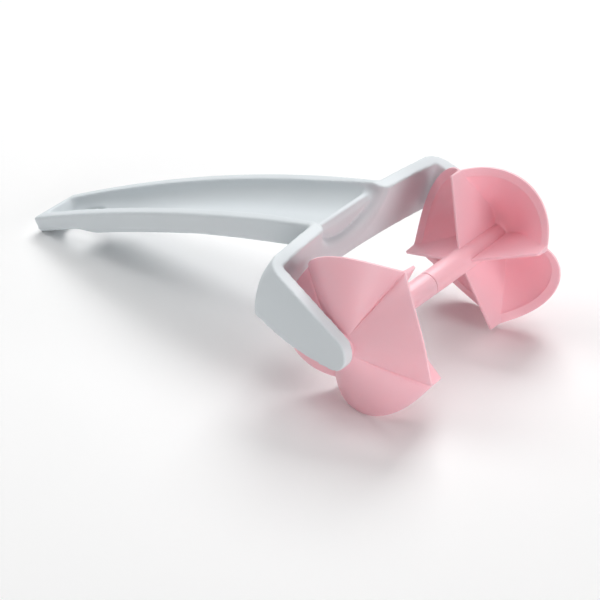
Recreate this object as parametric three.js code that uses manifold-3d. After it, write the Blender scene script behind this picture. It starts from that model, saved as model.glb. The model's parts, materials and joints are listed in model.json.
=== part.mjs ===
// Pastry wheel: a forked tray handle that carries a free-turning roller with two petal-edged cutting wheels.
// Millimetres, +Z up, +X from the hanging end of the handle to the wheels.
// The model is laid out from the axle, standing on z = 0, and is centred along X at the end.

import * as THREE from 'three';
import { mergeVertices } from 'three/addons/utils/BufferGeometryUtils.js';
import Module from 'manifold-3d';

const wasm = await Module();
wasm.setup();

// Cutting wheels
const wheelRadius = 30;
const petalCount = 4;
const rollerHalfLength = 50.6; // from the middle of the tool to the outer face of a hub
const notchInset = 17; // from the hub face in to the cutting edge where two petals meet
const petalBulge = 9.4; // how far the cutting edge swings out between two notches
const dishBow = 0.04; // how round the dish is between hub and cutting edge, 0 being straight
const wallThickness = 2.2;
const edgeThickness = 0.8;
const bevelWidth = 3.3;
const webThickness = 1.6;
const webTipInset = 22.6; // from the hub face in to the web's tip
const webRootInset = 28.7; // from the hub face in to where the web leaves the rod
const hubRadius = 5;
const hubRise = 0.9; // hub face above the dish
const leftTurn = 17.2; // degrees, a notch of the left wheel from +X towards +Z
const stagger = 42.9; // degrees, from a left notch to the next right notch

// Rod and pivots
const rodRadius = 4.5;
const seamOffset = 0.8; // the joint in the rod, to the left of the middle
const plugRadius = 2.6;
const plugLength = 10;
const pinRadius = 3;
const pinLength = 3.2;

// Fork
const wheelGap = 1.9; // between the cutting edges and the crossbar
const crossbarLean = 0.27; // forward per millimetre of height
const crossbarThickness = 5.4;
const crossbarRise = 22.45; // its top above the axle
const crossbarHeight = 22.65;
const crossbarBow = 3.1; // its middle stands this far behind its ends
const armToeIn = 4.6; // each arm's root stands this far nearer the middle than the hub face
const armThickness = 5;
const armEndRadius = 6.5;
const shoulderSetback = 4.8; // the arms' top edge starts to fall this far behind the crossbar's front
const armBelly = 20; // the arms' lower edge bends upward about this far behind the axle
const forkCornerRadius = 9;
const forkSwell = 1.3; // the outside wall swells this far past the rim
const cornerSwell = 3; // the same at the outer corners

// Handle
const handleLength = 141.0565;
const handleArch = 4.45; // mid-handle above the straight line from tip to crossbar
const handleBelly = 2.1; // mid-handle wider, on each side, than a straight taper
const tipWidth = 23.2;
const yokeWidth = 41;
const tipHeight = 6.7;
const wallHeight = 10.2;
const yokeDrop = 2; // the sides are this much higher at the crossbar
const yokeDropStart = 0.62; // share of the handle's length where they start to get higher
const footTrim = 1.3; // cut off under the tip to give it a flat foot
const tipWallLength = 20;
const wallStepLength = 14;
const wallDraft = 0.8;
const hullRadius = 4;
const topChamfer = 0.8;
const tipRake = 0.2; // tip face under-cut per millimetre of depth

// Tray
const rimWidth = 4.7;
const tipRimWidth = 4.9;
const channelDepth = 7.2;
const tipChannelDepth = 5.4;
const channelRoundness = 0.8; // share of the tray's half width that its rounded sides take
const mouthFlare = 1.5; // the tray widens this much on each side towards the crossbar
const mouthFlareLength = 25;
const channelEndWall = 2.2;
const channelRamp = 4.5;
const noseThickness = 3.6; // at its top
const noseDrop = 3.7; // nose below the rims
const noseOverlap = 0.3; // its ends reach this far into the tray's sides
const noseSetback = 4.7; // nose behind the crossbar's front
const noseDepth = 10.3; // how far the nose's rounded face reaches down
const noseRound = 6; // how far it draws back on the way down
const noseCrown = 3.5; // height over which its top rounds over to its face
const crownShare = 0.35; // largest share of the nose's own depth that the crown takes
const scoopWidth = 39;
const scoopDepth = 4.6;
const scoopRoot = 13.3; // height of the scoop at its back
const scoopLip = 3.7; // crossbar left whole below the scoop
const hangingHoleWidth = 12;
const hangingHoleLength = 16;
const hangingHoleFromTip = 17;

// Clearances
const hubClearance = 0.4;
const pivotClearance = 0.3;
const plugClearance = 0.3;
const seamGap = 0.3;
const spotFaceMargin = 1;

// Smoothness
const petalSteps = 14;
const dishRings = 3;
const roundSteps = 24;
const filletSteps = 4;
const channelSteps = 5;
const scoopSteps = 5;
const noseSteps = 6;
const handleSteps = 26;
const curveSteps = 10;
const cornerSteps = 8;
const crossbarSteps = 8;

// How far cutting shapes reach past what they cut
const overcut = 5;

// Outside wall of the fork: share of the way down from the rim, share of the swell
const swellProfile = [
  [0, 0],
  [0.07, 0.38],
  [0.18, 0.68],
  [0.35, 0.92],
  [0.55, 1],
  [0.75, 0.9],
  [0.9, 0.75],
  [1, 0.45],
  [1.2, 0],
];

// Worked-out places, from the axle and the table
const axleHeight = wheelRadius;
const coreRadius = rodRadius / 2;
const crossbarTop = axleHeight + crossbarRise;
const dishOffset = rollerHalfLength - hubRise;
const notchOffset = rollerHalfLength - notchInset;
const crossbarBottom = crossbarTop - crossbarHeight;
const crossbarFront = -(wheelRadius + wheelGap) * Math.hypot(1, crossbarLean);
const crossbarMidFront = crossbarFront - crossbarBow;
const topLean = crossbarLean * crossbarRise;
const crossbarTopFront = crossbarMidFront + topLean;
const armInner = rollerHalfLength + hubClearance;
const handleEnd = crossbarTopFront - crossbarThickness;
const tipX = handleEnd - handleLength;

// Closed body from a geometry, for joining and cutting
function solid(geometry) {
  const bare = geometry.clone();
  bare.deleteAttribute('normal');
  bare.deleteAttribute('uv');
  const merged = mergeVertices(bare);
  const vertProperties = new Float32Array(merged.attributes.position.array);
  const triVerts = new Uint32Array(merged.index.array);
  return new wasm.Manifold(new wasm.Mesh({ numProp: 3, vertProperties, triVerts }));
}

function geometryOf(body) {
  const mesh = body.getMesh();
  const geometry = new THREE.BufferGeometry();
  geometry.setAttribute('position', new THREE.BufferAttribute(mesh.vertProperties, 3));
  geometry.setIndex(new THREE.BufferAttribute(mesh.triVerts, 1));
  geometry.computeVertexNormals();
  return geometry;
}

// Skin over a row of equal rings, closed into a loop or capped at both ends
function skin(rings, loop) {
  const count = rings[0].length;
  const spans = loop ? rings.length : rings.length - 1;
  const indices = [];
  for (let i = 0; i < spans; i += 1) {
    const here = i * count;
    const next = ((i + 1) % rings.length) * count;
    for (let j = 0; j < count; j += 1) {
      const k = (j + 1) % count;
      indices.push(here + j, here + k, next + k);
      indices.push(here + j, next + k, next + j);
    }
  }
  if (!loop) {
    const last = (rings.length - 1) * count;
    for (let j = 1; j < count - 1; j += 1) {
      indices.push(0, j + 1, j);
      indices.push(last, last + j, last + j + 1);
    }
  }
  const geometry = new THREE.BufferGeometry();
  geometry.setFromPoints(rings.flat());
  geometry.setIndex(indices);
  return solid(geometry);
}

// Upright round bar along Z, from one height to another
function bar(radius, from, to) {
  const geometry = new THREE.CylinderGeometry(radius, radius, to - from, roundSteps);
  geometry.rotateX(Math.PI / 2);
  geometry.translate(0, 0, (from + to) / 2);
  return solid(geometry);
}

// An outline in X and Z, pushed out to the same distance on both sides along Y
function acrossY(outline, halfWidth) {
  const geometry = new THREE.ExtrudeGeometry(outline, {
    depth: 2 * halfWidth,
    bevelEnabled: false,
    curveSegments: curveSteps,
  });
  geometry.rotateX(Math.PI / 2);
  geometry.translate(0, halfWidth, 0);
  return geometry;
}

// An outline in X and Y, raised from one height to another
function upZ(outline, from, to) {
  const geometry = new THREE.ExtrudeGeometry(outline, {
    depth: to - from,
    bevelEnabled: false,
    curveSegments: curveSteps,
  });
  geometry.translate(0, 0, from);
  return geometry;
}

// Cutting edge along the axle: one circular arc per petal on the unrolled wheel
function rimOffset(angleFromNotch) {
  const halfChord = (Math.PI * wheelRadius) / petalCount;
  const arcRadius = (halfChord ** 2 + petalBulge ** 2) / (2 * petalBulge);
  const along = angleFromNotch * wheelRadius - halfChord;
  return notchOffset + petalBulge - arcRadius + Math.sqrt(arcRadius ** 2 - along ** 2);
}

// Outer face of the dish along the axle, from share 0 at the cutting edge to 1 at the hub
function dishFace(rim, share) {
  return rim + (dishOffset - rim) * (share + 4 * dishBow * share * (1 - share));
}

// Radii at which the dish is drawn, from the hub out to the cutting edge
function dishRadii() {
  const bevelStart = wheelRadius - bevelWidth;
  const radii = [];
  for (let i = 0; i <= dishRings; i += 1) {
    radii.push(hubRadius + ((bevelStart - hubRadius) * i) / dishRings);
  }
  radii.push(wheelRadius);
  return radii;
}

function shareAt(radius) {
  return (wheelRadius - radius) / (wheelRadius - hubRadius);
}

// Petal wall: hub to cutting edge on the outside and back on the inside, all the way round
function petalWall() {
  const radii = dishRadii();
  const rings = [];
  const petalAngle = (2 * Math.PI) / petalCount;
  for (let i = 0; i < petalCount * petalSteps; i += 1) {
    const angleFromNotch = ((i % petalSteps) * petalAngle) / petalSteps;
    const rim = rimOffset(angleFromNotch);
    const outer = radii.map((radius) => [radius, dishFace(rim, shareAt(radius))]);
    const inner = outer.map(([radius, along]) => {
      return [radius, along - (radius === wheelRadius ? edgeThickness : wallThickness)];
    });
    const core = [[coreRadius, dishOffset - wallThickness], [coreRadius, dishOffset]];
    const profile = [...core, ...outer, ...inner.reverse()];
    const angle = (i * petalAngle) / petalSteps;
    rings.push(profile.map(([radius, along]) => {
      return new THREE.Vector3(radius * Math.cos(angle), radius * Math.sin(angle), along);
    }));
  }
  return skin(rings, true);
}

// Web under each notch, from the rod to the cutting edge
function web(index) {
  const outline = new THREE.Shape();
  const rim = rimOffset(0);
  const webTip = rollerHalfLength - webTipInset;
  const webRoot = rollerHalfLength - webRootInset;
  const slope = (webTip - webRoot) / (wheelRadius - rodRadius);
  outline.moveTo(coreRadius, webRoot - slope * (rodRadius - coreRadius));
  outline.lineTo(wheelRadius, webTip);
  outline.lineTo(wheelRadius, rim - edgeThickness / 2);
  for (const radius of dishRadii().reverse().slice(1)) {
    outline.lineTo(radius, dishFace(rim, shareAt(radius)) - wallThickness / 2);
  }
  outline.lineTo(coreRadius, dishOffset - wallThickness / 2);
  const geometry = acrossY(outline, webThickness / 2);
  geometry.rotateZ((index * 2 * Math.PI) / petalCount);
  return solid(geometry);
}

// One half of the roller along +Z: rod from its seam, webs, petals, hub and pivot pin
function cutterHalf(seam) {
  let body = bar(rodRadius, seam + seamGap / 2, dishOffset);
  body = body.add(bar(hubRadius, dishOffset - wallThickness, rollerHalfLength));
  body = body.add(bar(pinRadius, dishOffset, rollerHalfLength + pinLength));
  body = body.add(petalWall());
  for (let i = 0; i < petalCount; i += 1) {
    body = body.add(web(i));
  }
  return body;
}

function leftCutter() {
  const plug = bar(plugRadius, seamOffset - plugLength, seamOffset + plugLength);
  return cutterHalf(seamOffset).add(plug);
}

function rightCutter() {
  const socketRadius = plugRadius + plugClearance;
  const socket = bar(socketRadius, -seamOffset - overcut, plugLength + plugClearance - seamOffset);
  return cutterHalf(-seamOffset).subtract(socket);
}

// Places on the fork's plan at axle height, on the left-hand side
const halfInner = rollerHalfLength - armToeIn;
const splay = (armInner - halfInner) / -crossbarFront;
const crossbarBack = crossbarFront - crossbarThickness;

function armInnerAt(x) {
  return armInner + splay * x;
}

function armOuterAt(x) {
  return armInnerAt(x) + armThickness;
}

const cornerStart = crossbarBack + forkCornerRadius;
const cornerEnd = armOuterAt(crossbarBack) - forkCornerRadius;

function crossbarFrontAt(y) {
  return crossbarFront - crossbarBow * (1 - (y / halfInner) ** 2);
}

function crossbarBackAt(y) {
  return crossbarBack - crossbarBow * (1 - (y / cornerEnd) ** 2);
}

// The arms' top edge: a straight fall from the shoulder that runs into the round arm end
const shoulder = crossbarFront + topLean - shoulderSetback;
const shoulderReach = Math.hypot(shoulder, crossbarRise);
const fallAngle = Math.atan2(crossbarRise, shoulder) - Math.acos(armEndRadius / shoulderReach);
const fall = 1 / Math.tan(fallAngle);

// Top of the fork over a place on its plan
function forkTopAt(x) {
  const upright = x - crossbarLean * axleHeight;
  const fallen = (crossbarTop - fall * (upright - shoulder)) / (1 + fall * crossbarLean);
  return Math.min(crossbarTop, fallen);
}

// Cross-section of the fork between an inner and an outer place on its plan
function forkSection(inner, outer, outward, swell) {
  const top = forkTopAt(outer.x);
  const share = THREE.MathUtils.clamp(outer.x / crossbarFront, 0, 1);
  const height = THREE.MathUtils.lerp(2 * armEndRadius, crossbarHeight, share);
  const low = top - height * swellProfile.at(-1)[0];
  const points = [[inner, low], [inner, forkTopAt(inner.x)]];
  for (const [down, bulge] of swellProfile) {
    points.push([outer.clone().addScaledVector(outward, swell * bulge), top - height * down]);
  }
  return points.map(([place, z]) => new THREE.Vector3(place.x + crossbarLean * (z - axleHeight), place.y, z));
}

// Cross-sections from the end of the left arm round to the middle of the crossbar
function forkSections() {
  const sections = [];
  const sideways = new THREE.Vector2(0, 1);
  const backward = new THREE.Vector2(-1, 0);
  for (const x of [armEndRadius + overcut, armEndRadius]) {
    const inner = new THREE.Vector2(x, armInnerAt(x));
    sections.push(forkSection(inner, new THREE.Vector2(x, armOuterAt(x)), sideways, 0));
  }
  const corner = new THREE.QuadraticBezierCurve(
    new THREE.Vector2(cornerStart, armOuterAt(cornerStart)),
    new THREE.Vector2(crossbarBack, armOuterAt(crossbarBack)),
    new THREE.Vector2(crossbarBack, cornerEnd),
  );
  for (let i = 0; i <= cornerSteps; i += 1) {
    const share = i / cornerSteps;
    const inner = new THREE.Vector2();
    if (share < 0.5) {
      inner.x = THREE.MathUtils.lerp(cornerStart, crossbarFront, 2 * share);
      inner.y = armInnerAt(inner.x);
    } else {
      inner.y = THREE.MathUtils.lerp(halfInner, cornerEnd, 2 * share - 1);
      inner.x = crossbarFrontAt(inner.y);
    }
    const outward = sideways.clone().lerp(backward, share).normalize();
    const swell = THREE.MathUtils.lerp(forkSwell, cornerSwell, Math.sin(Math.PI * share) ** 2);
    sections.push(forkSection(inner, corner.getPoint(share), outward, swell));
  }
  for (let i = 1; i <= crossbarSteps; i += 1) {
    const y = cornerEnd * (1 - i / crossbarSteps);
    const inner = new THREE.Vector2(crossbarFrontAt(y), y);
    sections.push(forkSection(inner, new THREE.Vector2(crossbarBackAt(y), y), backward, forkSwell));
  }
  return sections;
}

// Side of the fork: lower edge of the crossbar and arms, round arm ends, open above
function forkSide() {
  const back = tipX;
  const open = crossbarTop + overcut;
  const side = new THREE.Shape();
  side.moveTo(back, open);
  side.lineTo(back, crossbarBottom);
  side.lineTo(crossbarFront, crossbarBottom);
  side.quadraticCurveTo(-armBelly, axleHeight - armEndRadius, 0, axleHeight - armEndRadius);
  side.absarc(0, axleHeight, armEndRadius, -Math.PI / 2, fallAngle, false);
  side.lineTo(armEndRadius * Math.cos(fallAngle), open);
  side.closePath();
  return side;
}

function fork() {
  const left = forkSections();
  const right = left.slice(0, -1).reverse().map((ring) => {
    return ring.map((point) => new THREE.Vector3(point.x, -point.y, point.z));
  });
  const halfWidth = armInner + armThickness + cornerSwell + overcut;
  return skin([...left, ...right], false).intersect(solid(acrossY(forkSide(), halfWidth)));
}

// The crossbar's top falls a little from its back to its front, here per millimetre
const crestFall = (crossbarTop - forkTopAt(crossbarFrontAt(yokeWidth / 2))) / crossbarThickness;

// Handle sizes at a distance from the tip
function arched(from, to, rise, distance) {
  const share = distance / handleLength;
  return from + (to - from) * share + 4 * rise * share * (1 - share);
}

function rimHeightAt(distance) {
  const past = Math.max(distance - handleLength, 0);
  return arched(tipHeight, crossbarTop, handleArch, distance - past) - crestFall * past;
}

function halfWidthAt(distance) {
  return arched(tipWidth / 2, yokeWidth / 2, handleBelly, Math.min(distance, handleLength));
}

function wallHeightAt(distance) {
  const share = THREE.MathUtils.smoothstep(distance, tipWallLength, tipWallLength + wallStepLength);
  const past = THREE.MathUtils.clamp((distance / handleLength - yokeDropStart) / (1 - yokeDropStart), 0, 1);
  return THREE.MathUtils.lerp(tipHeight + footTrim, wallHeight, share) + yokeDrop * past;
}

function channelHalfWidthAt(distance) {
  const rim = THREE.MathUtils.lerp(tipRimWidth, rimWidth, Math.min(distance / handleLength, 1));
  const flare = THREE.MathUtils.smoothstep(distance, handleLength - mouthFlareLength, handleLength);
  return halfWidthAt(distance) - rim + mouthFlare * flare;
}

function channelDepthAt(distance) {
  const share = THREE.MathUtils.smoothstep(distance, tipWallLength, tipWallLength + wallStepLength);
  const full = THREE.MathUtils.lerp(tipChannelDepth, channelDepth, share);
  const ramp = THREE.MathUtils.clamp((distance - channelEndWall) / channelRamp, 0, 1);
  return full * ramp;
}

// Ring across the handle, both bottom corners rounded, from points on its left side, bottom first
function acrossX(x, side) {
  const mirrored = side.map(([y, z]) => [-y, z]).reverse();
  return [...side, ...mirrored].map(([y, z]) => new THREE.Vector3(x, y, z));
}

function beamRing(distance) {
  const side = [];
  const top = rimHeightAt(distance);
  const bottom = top - wallHeightAt(distance);
  const halfWidth = halfWidthAt(distance);
  const foot = halfWidth - wallDraft - hullRadius;
  for (let i = 0; i <= filletSteps; i += 1) {
    const angle = ((i / filletSteps - 1) * Math.PI) / 2;
    side.push([foot + hullRadius * Math.cos(angle), bottom + hullRadius + hullRadius * Math.sin(angle)]);
  }
  side.push([halfWidth, top - topChamfer], [halfWidth - topChamfer, top]);
  return acrossX(tipX + distance, side);
}

// Ring of the tray's inside: a trough with rounded sides, open above
function channelRing(distance) {
  const side = [];
  const top = rimHeightAt(distance);
  const depth = channelDepthAt(distance);
  const halfWidth = channelHalfWidthAt(distance);
  const roundWidth = channelRoundness * halfWidth;
  for (let i = 0; i <= channelSteps; i += 1) {
    const angle = ((i / channelSteps) * Math.PI) / 2;
    side.push([halfWidth - roundWidth * (1 - Math.sin(angle)), top - depth * Math.cos(angle)]);
  }
  side.push([halfWidth, top + overcut]);
  return acrossX(tipX + distance, side);
}

function handleBeam() {
  const length = crossbarTopFront - crossbarLean * (wallHeight + yokeDrop) - tipX;
  const rings = [];
  for (let i = 0; i <= handleSteps; i += 1) {
    rings.push(beamRing((length * i) / handleSteps));
  }
  for (const point of rings[0]) {
    point.x += tipRake * (tipHeight - point.z);
  }
  return skin(rings, false);
}

function trayChannel() {
  const end = crossbarTopFront - noseSetback - noseThickness - tipX;
  const rampEnd = channelEndWall + channelRamp;
  const distances = [channelEndWall, (channelEndWall + rampEnd) / 2];
  for (let i = 0; i <= handleSteps; i += 1) {
    distances.push(THREE.MathUtils.lerp(rampEnd, end, i / handleSteps));
  }
  return skin(distances.map(channelRing), false);
}

// Open top between the rims, over the nose and out to the crossbar's front
function trayMouth() {
  const length = noseThickness + noseSetback + overcut;
  const height = noseDrop + overcut;
  const geometry = new THREE.BoxGeometry(length, 2 * channelHalfWidthAt(handleLength), height);
  const front = crossbarTopFront + overcut;
  geometry.translate(front - length / 2, 0, crossbarTop - noseDrop + height / 2);
  return solid(geometry);
}

// Half-oval ring of the scoop, leaning with the crossbar
function scoopRing(x, halfWidth, depth) {
  const points = [];
  for (let i = 0; i <= 2 * curveSteps; i += 1) {
    const angle = ((i / curveSteps) * Math.PI) / 2;
    points.push([-halfWidth * Math.cos(angle), crossbarTop - depth * Math.sin(angle)]);
  }
  points.push([halfWidth, crossbarTop + overcut], [-halfWidth, crossbarTop + overcut]);
  return points.map(([y, z]) => new THREE.Vector3(x + crossbarLean * (z - crossbarTop), y, z));
}

// Hollow in the crossbar's front, which opens in a curve from the tray's width to the scoop's width
function crossbarScoop() {
  const deep = crossbarHeight - scoopLip;
  const narrow = channelHalfWidthAt(handleLength);
  const rings = [];
  for (let i = 0; i <= scoopSteps; i += 1) {
    const angle = ((i / scoopSteps) * Math.PI) / 2;
    const spread = 1 - Math.cos(angle);
    const halfWidth = THREE.MathUtils.lerp(narrow, scoopWidth / 2, spread);
    const depth = THREE.MathUtils.lerp(scoopRoot, deep, spread);
    rings.push(scoopRing(crossbarTopFront - scoopDepth * (1 - Math.sin(angle)), halfWidth, depth));
  }
  rings.push(scoopRing(crossbarTopFront + crossbarBow + overcut, scoopWidth / 2, deep));
  return skin(rings, false);
}

// Front wall of the tray: rounded over on top, with a face that draws back below like a boat's bow
function trayNose() {
  const top = crossbarTop - noseDrop;
  const front = crossbarTopFront - noseSetback;
  const back = front - noseThickness;
  const halfWidth = channelHalfWidthAt(handleLength) + noseOverlap;
  const last = Math.acos(1 - noseThickness / noseRound);
  const rings = [];
  for (let i = 0; i <= 2 * noseSteps; i += 1) {
    const across = -Math.cos(((i / noseSteps) * Math.PI) / 2);
    const depth = Math.max(noseDepth * Math.sqrt(1 - across ** 2), noseOverlap);
    const crown = Math.min(noseCrown, crownShare * depth);
    const first = Math.asin(crown / depth);
    const reach = front - noseRound * (1 - Math.cos(first)) - back;
    const profile = [];
    for (let j = 0; j < filletSteps; j += 1) {
      const angle = ((j / filletSteps) * Math.PI) / 2;
      profile.push([back + reach * Math.sin(angle), top - crown * (1 - Math.cos(angle))]);
    }
    for (let j = 0; j <= noseSteps; j += 1) {
      const angle = THREE.MathUtils.lerp(first, last, j / noseSteps);
      profile.push([front - noseRound * (1 - Math.cos(angle)), top - depth * Math.sin(angle)]);
    }
    rings.push(profile.map(([x, z]) => new THREE.Vector3(x, halfWidth * across, z)));
  }
  return skin(rings, false);
}

function hangingHole() {
  const radius = hangingHoleWidth / 2;
  const centre = tipX + hangingHoleFromTip;
  const half = hangingHoleLength / 2 - radius;
  const outline = new THREE.Shape();
  outline.absarc(centre + half, 0, radius, -Math.PI / 2, Math.PI / 2, false);
  outline.absarc(centre - half, 0, radius, Math.PI / 2, (3 * Math.PI) / 2, false);
  outline.closePath();
  return solid(upZ(outline, 0, crossbarTop));
}

// Blind pivot socket and the flat face round it, in one arm
function armPivot(side) {
  const socket = bar(pinRadius + pivotClearance, 0, armInner + pinLength + pivotClearance);
  const spotFace = bar(hubRadius + spotFaceMargin, 0, armInner);
  const turn = side > 0 ? -90 : 90;
  return socket.add(spotFace).rotate([turn, 0, 0]).translate([0, 0, axleHeight]);
}

function belowTable() {
  const geometry = new THREE.BoxGeometry(handleLength, yokeWidth, crossbarTop);
  geometry.translate(tipX, 0, -crossbarTop / 2);
  return solid(geometry);
}

function handleFork() {
  let body = handleBeam().add(fork());
  body = body.subtract(trayChannel()).subtract(trayMouth()).subtract(crossbarScoop());
  body = body.add(trayNose());
  body = body.subtract(hangingHole()).subtract(belowTable());
  return body.subtract(armPivot(1)).subtract(armPivot(-1));
}

const paleBluePlastic = { color: 0xcdd6d9, roughness: 0.5, metalness: 0 };
const pinkPlastic = { color: 0xeaa4b2, roughness: 0.45, metalness: 0 };

function piece(name, body, finish) {
  const mesh = new THREE.Mesh(geometryOf(body), new THREE.MeshStandardMaterial(finish));
  mesh.name = name;
  return mesh;
}

const roller = new THREE.Group();
roller.position.z = axleHeight;

const leftWheel = piece('left_cutter', leftCutter(), pinkPlastic);
leftWheel.rotation.set(-Math.PI / 2, 0, -THREE.MathUtils.degToRad(leftTurn));
roller.add(leftWheel);

const rightWheel = piece('right_cutter', rightCutter(), pinkPlastic);
rightWheel.rotation.set(Math.PI / 2, 0, THREE.MathUtils.degToRad(leftTurn + stagger));
roller.add(rightWheel);

const pastryWheel = new THREE.Group();
pastryWheel.name = 'pastry_wheel';
pastryWheel.position.x = -(tipX + wheelRadius) / 2;
pastryWheel.add(piece('handle_fork', handleFork(), paleBluePlastic));
pastryWheel.add(roller);

export default pastryWheel;
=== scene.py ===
"""Looks of a plastic pastry wheel: a forked tray handle and a roller with two petal-edged cutting wheels.

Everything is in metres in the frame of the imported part: +X runs from the hanging end of the handle to the
wheels, +Y along the axle to the left wheel, +Z up from the table.
"""

import json
from math import acos, asin, atan2, cos, hypot, pi, radians, sin, sqrt, tan

import bmesh
import bpy
import numpy as np
from bpy.props import FloatProperty, FloatVectorProperty, IntProperty, PointerProperty
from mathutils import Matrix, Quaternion, Vector


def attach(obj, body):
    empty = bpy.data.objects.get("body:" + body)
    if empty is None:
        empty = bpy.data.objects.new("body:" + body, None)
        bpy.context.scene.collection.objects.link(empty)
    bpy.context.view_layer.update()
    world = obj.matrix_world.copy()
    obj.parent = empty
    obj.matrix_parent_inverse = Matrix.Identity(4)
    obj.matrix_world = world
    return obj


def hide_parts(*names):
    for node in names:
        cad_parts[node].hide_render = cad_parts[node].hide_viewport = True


bl_info = {
    "name": "Pastry wheel",
    "version": (1, 0, 0),
    "blender": (4, 5, 0),
    "location": "3D View > Sidebar > Pastry wheel",
    "description": "Builds a forked plastic handle, a roller with petal-edged cutters, and a pale studio",
    "category": "Add Mesh",
}

MM = 0.001

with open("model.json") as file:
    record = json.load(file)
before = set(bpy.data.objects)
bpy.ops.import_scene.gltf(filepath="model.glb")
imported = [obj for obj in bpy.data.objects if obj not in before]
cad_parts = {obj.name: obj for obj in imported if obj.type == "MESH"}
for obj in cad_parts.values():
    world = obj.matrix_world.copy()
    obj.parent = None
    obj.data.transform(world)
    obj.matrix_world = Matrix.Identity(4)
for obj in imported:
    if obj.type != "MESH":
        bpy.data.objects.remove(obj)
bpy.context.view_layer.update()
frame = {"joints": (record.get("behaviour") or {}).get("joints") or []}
axle = Vector(frame["joints"][0]["pos_m"])


def linear(hex_colour):
    """Linear RGBA of an sRGB hex colour."""
    values = [int(hex_colour[i : i + 2], 16) / 255 for i in (1, 3, 5)]
    return [v / 12.92 if v <= 0.04045 else ((v + 0.055) / 1.055) ** 2.4 for v in values] + [1.0]


def number(name, default, description, **kind):
    return FloatProperty(name=name, description=description, default=default, **kind)


def mm(name, value, description):
    """A length, given in millimetres."""
    return number(name, value * MM, description, unit="LENGTH", precision=5)


def share(name, value, description):
    return number(name, value, description, subtype="FACTOR")


def angle(name, degrees, description):
    return number(name, radians(degrees), description, subtype="ANGLE")


def power(name, watts, description):
    return number(name, watts, description, min=0, unit="POWER")


def colour(name, hex_colour, description):
    return FloatVectorProperty(
        name=name, description=description, default=linear(hex_colour), size=4, subtype="COLOR", min=0, max=1
    )


class CutterSizes(bpy.types.PropertyGroup):
    """Sizes of the roller's two halves"""

    wheel_radius: mm("Wheel radius", 30, "Axle to cutting edge")
    petals: IntProperty(name="Petals", description="Petals round each wheel", default=4, min=3, max=8)
    half_length: mm("Half length", 50.6, "Middle of the tool to the outer face of a hub")
    notch_inset: mm("Notch inset", 17, "Hub face to the cutting edge where two petals meet")
    petal_bulge: mm("Petal bulge", 9.4, "How far the cutting edge swings out between notches")
    dish_bow: share("Dish bow", 0.04, "Roundness of the dish between hub and cutting edge")
    sink: mm("Sink", 0.5, "Depth of the sink mark outside each web")
    wall: mm("Wall", 2.2, "Thickness of a petal")
    edge: mm("Edge", 0.8, "Thickness of the cutting edge")
    band_width: mm("Band width", 3.3, "Width of the thinned band inside the cutting edge")
    band_step: mm("Band step", 0.3, "How far the band's inner border stands proud")
    web: mm("Web", 1.6, "Thickness of the webs where they meet the petals")
    web_edge: mm("Web edge", 0.9, "Thickness of the webs at their free edge")
    web_tip_rounding: mm("Web tip rounding", 0.3, "Rounding of a web's tip")
    web_tip_inset: mm("Web tip inset", 22.6, "Hub face to a web's tip")
    web_root_inset: mm("Web root inset", 28.7, "Hub face to where a web leaves the rod")
    fillet: mm("Fillet", 0.5, "Rounding where a web meets a petal")
    softness: mm("Softness", 0.25, "Rounding of the free edges")
    hub_radius: mm("Hub radius", 5, "Radius of the hub's face")
    hub_rise: mm("Hub rise", 0.9, "Hub face above the dish")
    left_turn: angle("Left turn", 17.2, "A notch of the left wheel, from +X towards +Z")
    stagger: angle("Stagger", 42.9, "From a left notch to the next right notch")
    rod_radius: mm("Rod radius", 4.5, "Radius of the rod between the wheels")
    root_fillet: mm("Root fillet", 1.2, "Rounding between the rod and the inside of a dish")
    boss: mm("Boss", 2.2, "Extra wall inside a dish, round the root of the rod")
    boss_radius: mm("Boss radius", 12, "Where that extra wall has run out")
    seam_offset: mm("Seam offset", 0.8, "Joint in the rod, to the left of the middle")
    seam_gap: mm("Seam gap", 0.1, "Gap at the joint in the rod")
    plug_radius: mm("Plug radius", 2.6, "Radius of the plug inside the joint")
    plug_length: mm("Plug length", 10, "Reach of the plug past the joint")
    plug_clearance: mm("Plug clearance", 0.3, "Room round the plug")
    pin_radius: mm("Pin radius", 2.9, "Radius of the pivot pin in an arm")
    pin_length: mm("Pin length", 3.1, "Reach of the pivot pin past the hub face")
    smoothness: IntProperty(name="Smoothness", description="Subdivision level", default=2, min=0, max=3)


class ForkSizes(bpy.types.PropertyGroup):
    """Sizes of the crossbar and the two arms"""

    wheel_gap: mm("Wheel gap", 1.9, "Cutting edges to the crossbar")
    lean: share("Lean", 0.27, "Forward lean of the crossbar for each unit of height")
    thickness: mm("Thickness", 5.4, "Thickness of the crossbar")
    rise: mm("Rise", 22.45, "Top of the crossbar above the axle")
    height: mm("Height", 22.65, "Height of the crossbar")
    bow: mm("Bow", 3.1, "How far its middle stands behind its ends")
    arm_toe_in: mm("Arm toe-in", 4.6, "Root of an arm inside the hub face")
    arm_thickness: mm("Arm thickness", 5, "Thickness of an arm")
    arm_end_radius: mm("Arm end radius", 6.5, "Radius of the round end of an arm")
    shoulder_setback: mm("Shoulder setback", 4.8, "Start of the arms' fall behind the crossbar's front")
    arm_belly: mm("Arm belly", 20, "Where the arms' lower edge bends, behind the axle")
    corner_radius: mm("Corner radius", 9, "Rounding of the outer corners")
    swell: mm("Swell", 1.3, "Outside wall past the rim")
    corner_swell: mm("Corner swell", 3, "Outside wall past the rim at the corners")
    hub_clearance: mm("Hub clearance", 0.4, "Room between a hub and an arm")
    pivot_clearance: mm("Pivot clearance", 0.4, "Room round a pivot pin")
    spot_face_margin: mm("Spot face margin", 1, "Flat ring round a hub, inside an arm")


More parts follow.
